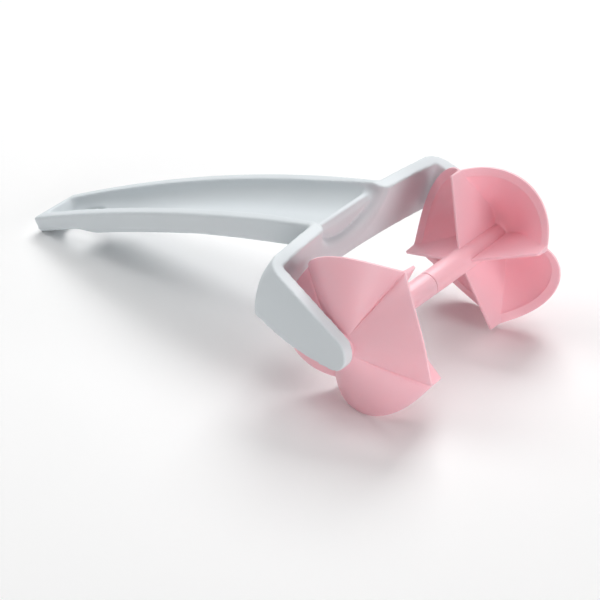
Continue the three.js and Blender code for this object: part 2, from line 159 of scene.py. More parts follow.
class TraySizes(bpy.types.PropertyGroup):
    """Sizes of the tray-shaped handle"""

    length: mm("Length", 141.0565, "Tip to the back of the crossbar")
    arch: mm("Arch", 4.45, "Mid-handle above the straight line from tip to crossbar")
    belly: mm("Belly", 2.1, "Mid-handle wider, on each side, than a straight taper")
    tip_width: mm("Tip width", 23.2, "Width at the hanging end")
    yoke_width: mm("Yoke width", 41, "Width at the crossbar")
    yoke_fillet: mm("Yoke fillet", 0.4, "Rounding between the handle's sides and the crossbar")
    tip_height: mm("Tip height", 6.7, "Height of the rim at the hanging end")
    wall_height: mm("Wall height", 10.2, "Height of the sides")
    yoke_drop: mm("Yoke drop", 2, "Extra height of the sides at the crossbar")
    yoke_drop_start: share("Yoke drop start", 0.62, "Where the sides start to get higher")
    foot_trim: mm("Foot trim", 1.3, "Cut off under the tip to give it a flat foot")
    tip_wall_length: mm("Tip wall length", 20, "Length of the shallow end")
    wall_step: mm("Wall step", 14, "Length over which the sides deepen")
    draft: mm("Draft", 0.8, "Lean of the sides")
    hull_radius: mm("Hull radius", 4, "Rounding along the underside")
    rim_rounding: mm("Rim rounding", 0.9, "Rounding of the rim's outer edge")
    tip_rake: share("Tip rake", 0.2, "Under-cut of the tip for each unit of depth")
    rim: mm("Rim", 4.7, "Width of the rim at the crossbar")
    tip_rim: mm("Tip rim", 4.9, "Width of the rim at the tip")
    depth: mm("Depth", 7.9, "Depth of the tray")
    tip_depth: mm("Tip depth", 6.5, "Depth of the tray near the tip")
    roundness: share("Roundness", 0.8, "Share of the tray's half width that its rounded sides take")
    mouth_flare: mm("Mouth flare", 1.5, "Widening of the tray on each side towards the crossbar")
    mouth_flare_length: mm("Mouth flare length", 25, "Length over which it widens")
    end_wall: mm("End wall", 2.2, "Wall at the tip")
    ramp: mm("Ramp", 4.5, "Slope inside the tip")
    nose_thickness: mm("Nose thickness", 3.6, "Front wall of the tray at its top")
    nose_drop: mm("Nose drop", 3.7, "Front wall below the rims")
    nose_setback: mm("Nose setback", 4.7, "Front wall behind the crossbar's front")
    nose_depth: mm("Nose depth", 10.3, "How far the front wall's rounded face reaches down")
    nose_round: mm("Nose round", 6, "How far it draws back on the way down")
    nose_crown: mm("Nose crown", 3.5, "Height over which its top rounds over to its face")
    scoop_width: mm("Scoop width", 39, "Width of the hollow in the crossbar's front")
    scoop_depth: mm("Scoop depth", 4.6, "Depth of that hollow")
    scoop_root: mm("Scoop root", 13.3, "Height of the hollow at its back")
    scoop_lip: mm("Scoop lip", 3.7, "Crossbar left whole below the hollow")
    hole_width: mm("Hole width", 12, "Width of the hanging hole")
    hole_length: mm("Hole length", 16, "Length of the hanging hole")
    hole_from_tip: mm("Hole from tip", 17, "Middle of the hanging hole from the tip")
    grain: mm("Grain", 0.55, "Size of the faces that the moulding is blended with")
    blending: IntProperty(name="Blending", description="Rounds of smoothing", default=5, min=0, max=40)


class Finishes(bpy.types.PropertyGroup):
    """Colours of the plastics and of the floor"""

    handle: colour("Handle", "#DCE2E5", "Pale blue-grey polypropylene of the handle")
    handle_streak: colour("Handle streak", "#D6DDE1", "Its slightly darker flow marks")
    roller: colour("Roller", "#FDC5CE", "Pink polypropylene of the roller")
    roller_streak: colour("Roller streak", "#FBC0CA", "Its slightly darker flow marks")
    floor: colour("Floor", "#FFFFFF", "White studio floor")


class StageSettings(bpy.types.PropertyGroup):
    """Camera and lamps"""

    azimuth: angle("Azimuth", 37.92, "Camera round the object, 0 looking along +Y")
    elevation: angle("Elevation", 30.41, "Camera above the horizon")
    roll: angle("Roll", -1.34, "Camera about its own axis")
    distance: mm("Distance", 1011.4, "Camera to the point it looks at")
    lens: number("Lens", 170.5, "Focal length on a 36 mm sensor", unit="CAMERA")
    overhead: power("Overhead", 5.6, "Soft lamp above the object")
    back: power("Back", 15.0, "Soft key lamp behind the left wheel and the handle")
    left: power("Left", 5.6, "Soft lamp on the handle's side")
    wheel_side: power("Wheel side", 8.4, "Low lamp past the wheels")
    front: power("Front", 4.0, "Weak low lamp on the camera's side")


class PastryWheelSettings(bpy.types.PropertyGroup):
    """All sizes and colours of the pastry wheel"""

    cutters: PointerProperty(type=CutterSizes)
    fork: PointerProperty(type=ForkSizes)
    tray: PointerProperty(type=TraySizes)
    finishes: PointerProperty(type=Finishes)
    stage: PointerProperty(type=StageSettings)


def add_node(tree, kind, inputs=None, **settings):
    """Adds a node, sets its properties, and fills its inputs with values or with links.

    A link comes from a socket, or from the first output of a node."""
    node = tree.nodes.new(kind)
    for name, value in settings.items():
        setattr(node, name, value)
    for key, value in (inputs or {}).items():
        if isinstance(value, bpy.types.Node):
            value = value.outputs[0]
        if isinstance(value, bpy.types.NodeSocket):
            tree.links.new(value, node.inputs[key])
        else:
            node.inputs[key].default_value = value
    return node


def empty_tree(owner):
    """The node tree of a new material or world, with nothing in it."""
    owner.use_nodes = True
    owner.node_tree.nodes.clear()
    return owner.node_tree


def moulded_plastic(name, base, streak, roughness, glow):
    """Moulded polypropylene: satin, faintly grainy, with soft flow marks.

    Glow is the share of light that passes into thin walls."""
    material = bpy.data.materials.new(name)
    tree = empty_tree(material)
    place = add_node(tree, "ShaderNodeTexCoord").outputs["Object"]
    # Flow marks about 40 mm long: hardly seen, they keep large faces from looking flat
    flow = add_node(
        tree, "ShaderNodeTexNoise", {"Vector": place, "Scale": 1 / (40 * MM), "Detail": 3, "Distortion": 0.6}
    )
    tint = add_node(tree, "ShaderNodeMix", {"Factor": flow, "A": base, "B": streak}, data_type="RGBA")
    # Fine spark-eroded grain of the mould: 0.25 mm in life, drawn at 0.6 mm so that it shows
    grain = add_node(tree, "ShaderNodeTexNoise", {"Vector": place, "Scale": 1 / (0.6 * MM), "Detail": 2})
    relief = add_node(tree, "ShaderNodeBump", {"Strength": 0.12, "Distance": 0.03 * MM, "Height": grain})
    # The same grain breaks up the gloss a little
    gloss = add_node(
        tree, "ShaderNodeMapRange", {"Value": grain, "To Min": roughness - 0.05, "To Max": roughness + 0.05}
    )
    surface = add_node(
        tree,
        "ShaderNodeBsdfPrincipled",
        {
            "Base Color": tint.outputs["Result"],
            "Roughness": gloss,
            "Normal": relief,
            "IOR": 1.49,
            "Subsurface Weight": glow,
            "Subsurface Radius": (1.0, 0.5, 0.5),
            "Subsurface Scale": 5 * MM,
        },
    )
    add_node(tree, "ShaderNodeOutputMaterial", {"Surface": surface})
    return material


def in_scene(name, data):
    """A new object in the scene."""
    obj = bpy.data.objects.new(name, data)
    bpy.context.scene.collection.objects.link(obj)
    return obj


def mesh_object(name, points, faces):
    """A new object in the scene, from points and faces."""
    mesh = bpy.data.meshes.new(name)
    mesh.from_pydata([tuple(p) for p in points], [], faces)
    return in_scene(name, mesh)


def finished(obj, name):
    """Turns an object with modifiers into a plain mesh object and removes the first one."""
    graph = bpy.context.evaluated_depsgraph_get()
    mesh = bpy.data.meshes.new_from_object(obj.evaluated_get(graph))
    bpy.data.objects.remove(obj)
    mesh.name = name
    return in_scene(name, mesh)


def facing_outwards(obj):
    """Turns the faces of a closed mesh outwards and shades them smooth."""
    shell = bmesh.new()
    shell.from_mesh(obj.data)
    bmesh.ops.recalc_face_normals(shell, faces=shell.faces)
    if any(not edge.is_manifold for edge in shell.edges):
        raise RuntimeError(f"{obj.name} isn't closed")
    shell.to_mesh(obj.data)
    shell.free()
    obj.data.shade_smooth()


def skin(name, rings):
    """Closed skin over a row of equal rings, capped at both ends."""
    count = len(rings[0])
    last = (len(rings) - 1) * count
    faces = []
    for here in range(0, last, count):
        for j in range(count):
            k = (j + 1) % count
            faces.append((here + j, here + k, here + count + k, here + count + j))
    faces += [tuple(reversed(range(count))), tuple(range(last, last + count))]
    return mesh_object(name, [point for ring in rings for point in ring], faces)


def combined(body, operation, *tools):
    """Joins tools to a body, cuts them away, or keeps what they share, one by one."""
    for tool in tools:
        step = body.modifiers.new(operation, "BOOLEAN")
        step.operation = operation
        step.solver = "MANIFOLD"
        step.object = tool
        body = finished(body, body.name)
        bpy.data.objects.remove(tool)
    return body


def curve_points(start, bend, end, steps):
    """Points along a curve that leaves start towards bend and arrives at end from it."""
    s, b, e = (np.array(p, float) for p in (start, bend, end))
    t = np.linspace(0, 1, steps + 1)[:, None]
    return (1 - t) ** 2 * s + 2 * t * (1 - t) * b + t**2 * e


def arc_points(centre, radius, start, end, steps):
    """Points along an arc of a circle, from one angle to another."""
    turn = np.linspace(start, end, steps + 1)
    return np.stack([centre[0] + radius * np.cos(turn), centre[1] + radius * np.sin(turn)], 1)


def blend(low, high, value):
    """Smooth step from 0 below low to 1 above high."""
    t = min(max((value - low) / (high - low), 0), 1)
    return t * t * (3 - 2 * t)


# How far a cutting tool reaches past what it cuts
OVERCUT = 5 * MM
# Steps along an arm, round a corner, along half of the crossbar and down the outside wall; round a bar
FORK_STEPS, BAR_STEPS = 24, 64
# Outside wall of the fork, in shares of its height: where it is fullest, and its end before it is trimmed
FULLEST, WALL_END = 0.55, 1.2
# How quickly it rounds over above and below that place, and how far its steps crowd towards the rim
ROUNDING_ABOVE, ROUNDING_BELOW, CROWDING = 2.6, 2.2, 1.3


class ForkForm:
    """Shape of the fork, laid out from the axle: plan at axle height, swollen outside, falling arms."""

    def __init__(self, fork, cutters):
        self.fork = fork
        self.axle_height = cutters.wheel_radius
        self.top = self.axle_height + fork.rise
        self.bottom = self.top - fork.height
        self.front = -(cutters.wheel_radius + fork.wheel_gap) * hypot(1, fork.lean)
        self.back = self.front - fork.thickness
        self.top_front = self.front - fork.bow + fork.lean * fork.rise
        self.arm_inner = cutters.half_length + fork.hub_clearance
        self.half_inner = cutters.half_length - fork.arm_toe_in
        self.splay = (self.arm_inner - self.half_inner) / -self.front
        self.corner_start = self.back + fork.corner_radius
        self.corner_end = self.arm_outer_at(self.back) - fork.corner_radius
        self.shoulder = self.front + fork.lean * fork.rise - fork.shoulder_setback
        reach = hypot(self.shoulder, fork.rise)
        self.fall_angle = atan2(fork.rise, self.shoulder) - acos(fork.arm_end_radius / reach)
        self.fall = 1 / tan(self.fall_angle)

    def arm_inner_at(self, x):
        return self.arm_inner + self.splay * x

    def arm_outer_at(self, x):
        return self.arm_inner_at(x) + self.fork.arm_thickness

    def front_at(self, y):
        return self.front - self.fork.bow * (1 - (y / self.half_inner) ** 2)

    def back_at(self, y):
        return self.back - self.fork.bow * (1 - (y / self.corner_end) ** 2)

    def top_at(self, x):
        """Height of the top over a place on the plan."""
        upright = x - self.fork.lean * self.axle_height
        fallen = (self.top - self.fall * (upright - self.shoulder)) / (1 + self.fall * self.fork.lean)
        return min(self.top, fallen)

    def section(self, inner, outer, outward, swell):
        """Cross-section between an inner and an outer place: inner wall, rim, and swollen outside wall."""
        fork = self.fork
        top = self.top_at(outer[0])
        along = min(max(outer[0] / self.front, 0), 1)
        height = 2 * fork.arm_end_radius * (1 - along) + fork.height * along
        points = [(*inner, top - WALL_END * height), (*inner, self.top_at(inner[0]))]
        for down in WALL_END * np.linspace(0, 1, FORK_STEPS + 1) ** CROWDING:
            if down < FULLEST:
                bulge = 1 - (1 - down / FULLEST) ** ROUNDING_ABOVE
            else:
                bulge = 1 - ((down - FULLEST) / (WALL_END - FULLEST)) ** ROUNDING_BELOW
            x, y = np.array(outer) + swell * bulge * np.array(outward)
            points.append((x, y, top - height * down))
        return [(x + fork.lean * (z - self.axle_height), y, z) for x, y, z in points]

    def left_sections(self):
        """Cross-sections from the end of the left arm round to the middle of the crossbar."""
        fork = self.fork
        sections = []
        reach = fork.arm_end_radius
        for x in [reach + OVERCUT, *np.linspace(reach, self.corner_start, FORK_STEPS)[:-1]]:
            swell = fork.swell * blend(-reach, -self.corner_start, -x)
            sections.append(self.section((x, self.arm_inner_at(x)), (x, self.arm_outer_at(x)), (0, 1), swell))
        corner = curve_points(
            (self.corner_start, self.arm_outer_at(self.corner_start)),
            (self.back, self.arm_outer_at(self.back)),
            (self.back, self.corner_end),
            FORK_STEPS,
        )
        for i, outer in enumerate(corner):
            t = i / FORK_STEPS
            if t < 0.5:
                x = self.corner_start + (self.front - self.corner_start) * 2 * t
                inner = (x, self.arm_inner_at(x))
            else:
                y = self.half_inner + (self.corner_end - self.half_inner) * (2 * t - 1)
                inner = (self.front_at(y), y)
            outward = np.array((-t, 1 - t)) / hypot(t, 1 - t)
            swell = fork.swell + (fork.corner_swell - fork.swell) * sin(pi * t) ** 2
            sections.append(self.section(inner, tuple(outer), outward, swell))
        for y in np.linspace(self.corner_end, 0, FORK_STEPS + 1)[1:]:
            sections.append(self.section((self.front_at(y), y), (self.back_at(y), y), (-1, 0), fork.swell))
        return sections

    def side_outline(self, back):
        """Side view: lower edge of crossbar and arms and the round arm ends, open above."""
        radius = self.fork.arm_end_radius
        low, above = self.axle_height - radius, self.top + OVERCUT
        bend = (-self.fork.arm_belly, low)
        belly = curve_points((self.front, self.bottom), bend, (0, low), FORK_STEPS)
        end = arc_points((0, self.axle_height), radius, -pi / 2, self.fall_angle, FORK_STEPS)
        return [(back, above), (back, self.bottom), *belly, *end[1:], (end[-1][0], above)]

    def body(self, back):
        """Both halves of the fork, trimmed to its side view."""
        left = self.left_sections()
        right = [[(x, -y, z) for x, y, z in ring] for ring in reversed(left[:-1])]
        half = self.arm_inner + self.fork.arm_thickness + self.fork.corner_swell + OVERCUT
        rings = [[(x, y, z) for x, z in self.side_outline(back)] for y in (half, -half)]
        return combined(skin("forked_handle", left + right), "INTERSECT", skin("fork_side", rings))

    def round_bar(self, name, radius, half_length):
        """Bar along the axle, to cut both arms with."""
        outline = arc_points((0, self.axle_height), radius, 0, 2 * pi, BAR_STEPS)[:-1]
        return skin(name, [[(x, y, z) for x, z in outline] for y in (half_length, -half_length)])


# Steps along the tray, and round a small arc
TRAY_STEPS = 110
ROUND_STEPS = 8
# Depth of the tray's cut at the very tip, and of the nose at its sides, where they run out
LEAST_CUT, LEAST_NOSE = 0.05 * MM, 0.2 * MM
# Reach of the nose into the tray's sides, and the most of its depth that its rounded top takes
NOSE_OVERLAP = 0.3 * MM
CROWN_SHARE = 0.35


class TrayForm:
    """Shape of the tray-shaped handle, laid out from the axle."""

    def __init__(self, tray, form):
        self.tray = tray
        self.form = form
        self.end = form.top_front - form.fork.thickness
        self.tip = self.end - tray.length
        self.mouth_half = self.channel_half_width(tray.length)
        self.nose_front = form.top_front - tray.nose_setback
        self.nose_back = self.nose_front - tray.nose_thickness
        at_rim = form.front_at(tray.yoke_width / 2)
        self.crest_fall = (form.top - form.top_at(at_rim)) / form.fork.thickness

    def arched(self, start, end, rise, distance):
        t = min(distance / self.tray.length, 1)
        return start + (end - start) * t + 4 * rise * t * (1 - t)

    def rim_height(self, distance):
        past = max(distance - self.tray.length, 0)
        tray = self.tray
        return self.arched(tray.tip_height, self.form.top, tray.arch, distance) - self.crest_fall * past

    def half_width(self, distance):
        tray = self.tray
        return self.arched(tray.tip_width / 2, tray.yoke_width / 2, tray.belly, distance)

    def deepening(self, distance):
        return blend(self.tray.tip_wall_length, self.tray.tip_wall_length + self.tray.wall_step, distance)

    def wall_height(self, distance):
        tray = self.tray
        low = tray.tip_height + tray.foot_trim
        past = max(distance / tray.length - tray.yoke_drop_start, 0) / (1 - tray.yoke_drop_start)
        return low + (tray.wall_height - low) * self.deepening(distance) + tray.yoke_drop * min(past, 1)

    def channel_half_width(self, distance):
        tray = self.tray
        rim = tray.tip_rim + (tray.rim - tray.tip_rim) * min(distance / tray.length, 1)
        flare = tray.mouth_flare * blend(tray.length - tray.mouth_flare_length, tray.length, distance)
        return self.half_width(distance) - rim + flare

    def channel_depth(self, distance):
        tray = self.tray
        full = tray.tip_depth + (tray.depth - tray.tip_depth) * self.deepening(distance)
        return full * min(max((distance - tray.end_wall) / tray.ramp, 0), 1)

    def ring(self, x, half_width, top, bottom):
        """Ring across the handle, from the bottom on the left up and over to the bottom on the right."""
        radius, rounding = self.tray.hull_radius, self.tray.rim_rounding
        foot = (half_width - self.tray.draft - radius, bottom + radius)
        rim = (half_width - rounding, top - rounding)
        side = [
            *arc_points(foot, radius, -pi / 2, 0, ROUND_STEPS),
            *arc_points(rim, rounding, 0, pi / 2, ROUND_STEPS),
        ]
        return [(x, y, z) for y, z in side] + [(x, -y, z) for y, z in reversed(side)]

    def flare(self, distance):
        """Extra half width close to the crossbar, for the rounding between them."""
        radius = self.tray.yoke_fillet
        near = min(max(distance - (self.tray.length - radius), 0), radius)
        return radius - sqrt(radius**2 - near**2)

    def beam(self):
        """Outside of the tray, from the tip into the crossbar."""
        tray, form = self.tray, self.form
        fillet_start = tray.length - tray.yoke_fillet
        distances = [
            *np.linspace(0, fillet_start, TRAY_STEPS)[:-1],
            *np.linspace(fillet_start, tray.length, 2 * ROUND_STEPS),
            tray.length + form.fork.thickness / 2,
        ]
        rings = []
        for distance in distances:
            top = self.rim_height(distance)
            bottom = top - self.wall_height(distance)
            half = self.half_width(distance) + self.flare(distance)
            ring = self.ring(self.tip + distance, half, top, bottom)
            lean = form.fork.lean * blend(tray.length / 2, tray.length, distance)
            rake = tray.tip_rake * (1 - blend(0, tray.end_wall, distance))
            rings.append([(x + (rake - lean) * (top - z), y, z) for x, y, z in ring])
        return skin("tray_beam", rings)

    def channel(self):
        """Inside of the tray: a trough with rounded sides."""
        tray = self.tray
        end = self.nose_back - self.tip
        ramp_end = tray.end_wall + tray.ramp
        distances = [
            *np.linspace(tray.end_wall, ramp_end, ROUND_STEPS)[:-1],
            *np.linspace(ramp_end, end, TRAY_STEPS),
        ]
        turn = np.linspace(0, pi / 2, 2 * ROUND_STEPS + 1)
        rings = []
        for distance in distances:
            half = self.channel_half_width(distance)
            depth = max(self.channel_depth(distance), LEAST_CUT)
            rim = self.rim_height(distance)
            across = tray.roundness * half
            side = [(half - across * (1 - sin(t)), rim - depth * cos(t)) for t in turn]
            side.append((half, rim + OVERCUT))
            x = self.tip + distance
            rings.append([(x, y, z) for y, z in side] + [(x, -y, z) for y, z in reversed(side)])
        return skin("tray_channel", rings)

    def mouth(self):
        """Open top between the rims, over the nose and out to the crossbar's front."""
        half, front = self.mouth_half, self.form.top_front + OVERCUT
        low, high = self.form.top - self.tray.nose_drop, self.form.top + OVERCUT
        corners = [(half, low), (half, high), (-half, high), (-half, low)]
        return skin("tray_mouth", [[(x, y, z) for y, z in corners] for x in (self.nose_back, front)])

    def scoop_ring(self, x, half_width, depth):
        turn = np.linspace(0, pi, 4 * ROUND_STEPS + 1)
        top = self.form.top
        points = [(-half_width * cos(t), top - depth * sin(t)) for t in turn]
        points += [(half_width, top + OVERCUT), (-half_width, top + OVERCUT)]
        return [(x + self.form.fork.lean * (z - top), y, z) for y, z in points]

    def scoop(self):
        """Hollow in the crossbar's front, from the tray's width to its own width."""
        tray, front = self.tray, self.form.top_front
        deep = self.form.fork.height - tray.scoop_lip
        narrow = self.mouth_half
        rings = []
        for t in np.sin(np.linspace(0, pi / 2, 2 * ROUND_STEPS + 1)):
            spread = 1 - sqrt(1 - t**2)
            half = narrow + (tray.scoop_width / 2 - narrow) * spread
            depth = tray.scoop_root + (deep - tray.scoop_root) * spread
            rings.append(self.scoop_ring(front - tray.scoop_depth * (1 - t), half, depth))
        rings.append(self.scoop_ring(front + self.form.fork.bow + OVERCUT, tray.scoop_width / 2, deep))
        return skin("crossbar_scoop", rings)

    def nose(self):
        """Front wall of the tray: rounded over on top, its face drawn back below like a boat's bow."""
        tray, front, back = self.tray, self.nose_front, self.nose_back
        top = self.form.top - tray.nose_drop
        half = self.mouth_half + NOSE_OVERLAP
        last = acos(max(1 - tray.nose_thickness / tray.nose_round, 0))
        rings = []
        for across in -np.cos(np.linspace(0, pi, 6 * ROUND_STEPS + 1)):
            depth = max(tray.nose_depth * sqrt(1 - across**2), LEAST_NOSE)
            crown = min(tray.nose_crown, CROWN_SHARE * depth)
            first = asin(crown / depth)
            reach = front - tray.nose_round * (1 - cos(first)) - back
            over = np.linspace(0, pi / 2, 2 * ROUND_STEPS, endpoint=False)
            profile = [(back + reach * sin(t), top - crown * (1 - cos(t))) for t in over]
            profile += [
                (front - tray.nose_round * (1 - cos(t)), top - depth * sin(t))
                for t in np.linspace(first, last, 2 * ROUND_STEPS + 1)
            ]
            rings.append([(x, half * across, z) for x, z in profile])
        return skin("tray_nose", rings)

    def hanging_hole(self):
        """Long hole with round ends, through the floor of the tray."""
        tray = self.tray
        radius = tray.hole_width / 2
        centre, half = self.tip + tray.hole_from_tip, tray.hole_length / 2 - radius
        right = arc_points((centre + half, 0), radius, -pi / 2, pi / 2, 2 * ROUND_STEPS)
        left = arc_points((centre - half, 0), radius, pi / 2, 1.5 * pi, 2 * ROUND_STEPS)
        return skin("hanging_hole", [[(x, y, z) for x, y in (*right, *left)] for z in (0, self.form.top)])

    def table(self):
        """What the flat foot is cut with."""
        low, half = -OVERCUT, self.tray.yoke_width
        corners = [(-half, low), (half, low), (half, 0), (-half, 0)]
        return skin("table_cut", [[(x, y, z) for y, z in corners] for x in (self.tip - OVERCUT, self.end)])


class PASTRYWHEEL_OT_handle(bpy.types.Operator):
    """Build the forked handle as one moulding"""

    bl_idname = "pastrywheel.handle"
    bl_label = "Forked handle"

    def execute(self, context):
        settings = context.scene.pastry_wheel
        fork, tray, cutters = settings.fork, settings.tray, settings.cutters
        form = ForkForm(fork, cutters)
        handle = TrayForm(tray, form)
        socket = form.arm_inner + cutters.pin_length + fork.pivot_clearance
        spot_face = cutters.hub_radius + fork.spot_face_margin
        body = combined(form.body(handle.tip), "UNION", handle.beam())
        body = combined(body, "DIFFERENCE", handle.channel(), handle.mouth(), handle.scoop())
        body = combined(body, "UNION", handle.nose())
        body = combined(
            body,
            "DIFFERENCE",
            handle.hanging_hole(),
            handle.table(),
            form.round_bar("pivot_sockets", cutters.pin_radius + fork.pivot_clearance, socket),
            form.round_bar("spot_faces", spot_face, form.arm_inner),
        )
        blended = body.modifiers.new("Blended", "REMESH")
        blended.mode = "VOXEL"
        blended.voxel_size = tray.grain
        body.modifiers.new("Softened", "SMOOTH").iterations = tray.blending
        body = finished(body, "forked_handle")
        for vertex in body.data.vertices:
            vertex.co.x += axle.x
        facing_outwards(body)
        base, streak = settings.finishes.handle, settings.finishes.handle_streak
        plastic = moulded_plastic("moulded_pale_polypropylene", base, streak, roughness=0.5, glow=0)
        body.data.materials.clear()
        body.data.materials.append(plastic)
        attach(body, "handle")
        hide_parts("handle_fork")
        return {"FINISHED"}


# Radii of the rows of points inside a dish and, from the edge in, outside it
CUP_RADII = [r * MM for r in (6.5, 9, 12, 15.5, 19, 22.5, 25)]
DISH_RADII = [r * MM for r in (28, 25, 21.5, 18, 14.5, 11, 8)]
# Rows in the thinned band: a radius, and a distance from the cutting edge
BAND_MIDDLE, BAND_INSET = 28.2 * MM, 1 * MM
# Steps across a petal and down a web
PETAL_STEPS, WEB_STEPS = 16, 4
# Middle of a fillet, as a share of its size
FILLET_MIDDLE = 0.3
# Rows across the thickness of the cutting edge
EDGE_ROWS = (0, 0.25, 0.75, 1)
# Ring of points on each round end, as a share of its radius
END_RING = 1 / 3
# Points of neighbouring sectors closer than this are one
WELD = 0.002 * MM


class PetalSector:
    """One petal of a cutter with the halves of the webs beside it and its share of the rod, hub and pin.

    A point is (radius, turn from the notch, distance along the axle from the middle of the tool)."""

    def __init__(self, cutters):
        self.cutters = cutters
        self.span = 2 * pi / cutters.petals
        self.half_web, self.half_edge = cutters.web / 2, cutters.web_edge / 2
        self.dish = cutters.half_length - cutters.hub_rise
        self.notch = cutters.half_length - cutters.notch_inset
        self.band_start = cutters.wheel_radius - cutters.band_width
        self.points = []
        self.faces = []

    def rim_at(self, turn):
        """Cutting edge along the axle: one circular arc per petal on the unrolled wheel."""
        c = self.cutters
        half = self.span * c.wheel_radius / 2
        arc = (half**2 + c.petal_bulge**2) / (2 * c.petal_bulge)
        along = turn * c.wheel_radius - half
        return self.notch + c.petal_bulge - arc + sqrt(arc**2 - along**2)

    def outside(self, radius, turn):
        """Outside of the dish along the axle, with the sink mark that the web leaves at a notch."""
        c = self.cutters
        t = min((c.wheel_radius - radius) / (c.wheel_radius - c.hub_radius), 1)
        rim = self.rim_at(turn)
        across = min(turn, self.span - turn) / self.turn_of(c.wheel_radius, self.half_web)
        sink = c.sink * max(1 - across, 0) * sin(pi * t)
        return rim + (self.dish - rim) * (t + 4 * c.dish_bow * t * (1 - t)) - sink

    def inside(self, radius, turn):
        """Inside of the dish along the axle: wall, thinned band at the edge, boss at the rod."""
        c = self.cutters
        thickness = c.wall
        if radius >= self.band_start:
            t = (radius - self.band_start) / c.band_width
            thickness = (c.wall + c.band_step) * (1 - t) + c.edge * t
        near_rod = max(c.rod_radius + c.root_fillet - radius, 0)
        rounding = c.root_fillet - sqrt(c.root_fillet**2 - near_rod**2)
        boss = c.boss * (1 - blend(c.rod_radius, c.boss_radius, radius))
        return self.outside(radius, turn) - thickness - boss - rounding

    def web_edge(self, radius):
        """Free edge of a web along the axle: straight, with a rounded tip."""
        c = self.cutters
        tip, root = c.half_length - c.web_tip_inset, c.half_length - c.web_root_inset
        past = max(radius - (c.wheel_radius - c.web_tip_rounding), 0)
        rounding = c.web_tip_rounding - sqrt(max(c.web_tip_rounding**2 - past**2, 0))
        return root + (tip - root) * (radius - c.rod_radius) / (c.wheel_radius - c.rod_radius) + rounding

    def turn_of(self, radius, offset):
        return asin(offset / radius)

    def mirrored(self, row):
        """The mirror image of a row about mid-petal."""
        return [(r, self.span - t, a) for r, t, a in reversed(row)]

    def fillet_turns(self, radius):
        """Turns of a fillet's middle and of its end on the petal."""
        fillet = self.cutters.fillet
        return [self.turn_of(radius, self.half_web + part * fillet) for part in (FILLET_MIDDLE, 1)]

    def wall_turns(self, radius):
        """Turns over half of the petal, after the fillet."""
        start = self.fillet_turns(radius)[1]
        return np.linspace(start, self.span - start, PETAL_STEPS + 1)[: PETAL_STEPS // 2]

    def web_rows(self, radius):
        """Half of a web at one radius, from its free edge to the fillet: mid-plane, inside its face, face."""
        c = self.cutters
        low = self.web_edge(radius)
        top = self.inside(radius, self.turn_of(radius, self.half_web)) - c.fillet
        rows = []
        for level in (low, *np.linspace(low + c.softness, top, WEB_STEPS + 1)):
            offset = self.half_edge + (self.half_web - self.half_edge) * (level - low) / (top - low)
            rows.append([(radius, self.turn_of(radius, d), level) for d in (0, offset - c.softness, offset)])
        return rows

    def petal_half(self, radius):
        """Fillet and inner wall, from the web to just before mid-petal."""
        near = self.fillet_turns(radius)[0]
        middle = self.inside(radius, near) - FILLET_MIDDLE * self.cutters.fillet
        wall = [(radius, turn, self.inside(radius, turn)) for turn in self.wall_turns(radius)]
        return [(radius, near, middle), *wall]

    def whole(self, radius, half):
        """Half a row mirrored about mid-petal, with the mid-petal point between the halves."""
        middle = self.span / 2
        return [*half, (radius, middle, self.inside(radius, middle)), *self.mirrored(half)]

    def add_grid(self, rows, flip=False):
        """Adds a patch of faces between rows of equal length."""
        start = len(self.points)
        self.points += [(r * cos(t), a, r * sin(t)) for row in rows for r, t, a in row]
        width = len(rows[0])
        for i in range(len(rows) - 1):
            for j in range(width - 1):
                a = start + i * width + j
                face = (a, a + 1, a + width + 1, a + width)
                self.faces.append(face[::-1] if flip else face)

    def add_turned(self, turns, profile):
        """Adds a turned surface along a profile of (radius, along) that ends on the axle."""
        self.add_grid([[(radius, turn, along) for turn in turns] for radius, along in profile[:-1]])
        centre = len(self.points)
        self.points.append((0, profile[-1][1], 0))
        self.faces += [(j, j + 1, centre) for j in range(centre - len(turns), centre - 1)]

    def build(self, rod_end_profile):
        """Fills in the points and faces; the rod ends in a profile of (radius, along)."""
        c = self.cutters
        rod, rim = c.rod_radius, c.wheel_radius
        soft = c.softness
        radii = [rod, rod + soft, *CUP_RADII]
        radii += [self.band_start - soft / 2, self.band_start, self.band_start + soft]
        radii += [BAND_MIDDLE, rim - BAND_INSET, rim - soft, rim]

        # Inside: web, petal wall and next web at each radius
        cup = []
        for radius in radii:
            web = self.web_rows(radius)
            cup.append(self.whole(radius, web[0] + [row[-1] for row in web[1:]] + self.petal_half(radius)))
        self.add_grid(cup)

        # Rod inside the cup, between the two webs
        top_row = self.whole(rod, self.petal_half(rod))
        between = [turn for _, turn, _ in top_row[1:-1]]
        web = self.web_rows(rod)
        strip = []
        for row in web:
            _, face, level = row[-1]
            strip.append([(rod, turn, level) for turn in (face, *between, self.span - face)])
        self.add_grid(strip + [top_row], flip=True)

        # Plain rod from the webs to its end at the seam
        web_turns = [turn for _, turn, _ in web[0]]
        rod_turns = web_turns + between + [self.span - turn for turn in reversed(web_turns)]
        start = web[0][0][2]
        self.add_turned(rod_turns, [(rod, start), (rod, start - 2 * soft), *rod_end_profile])

        # Cutting edge and the ends of the webs, all at the wheel's radius
        web = self.web_rows(rim)
        lower = self.whole(rim, web[-1] + self.petal_half(rim))
        upper = [(rim, turn, self.outside(rim, turn)) for _, turn, _ in lower]
        band = []
        for part in EDGE_ROWS:
            band.append([(r, t, a + (b - a) * part) for (r, t, a), (_, _, b) in zip(lower, upper)])
        self.add_grid(band)
        self.add_grid(web)
        self.add_grid([self.mirrored(row) for row in web])

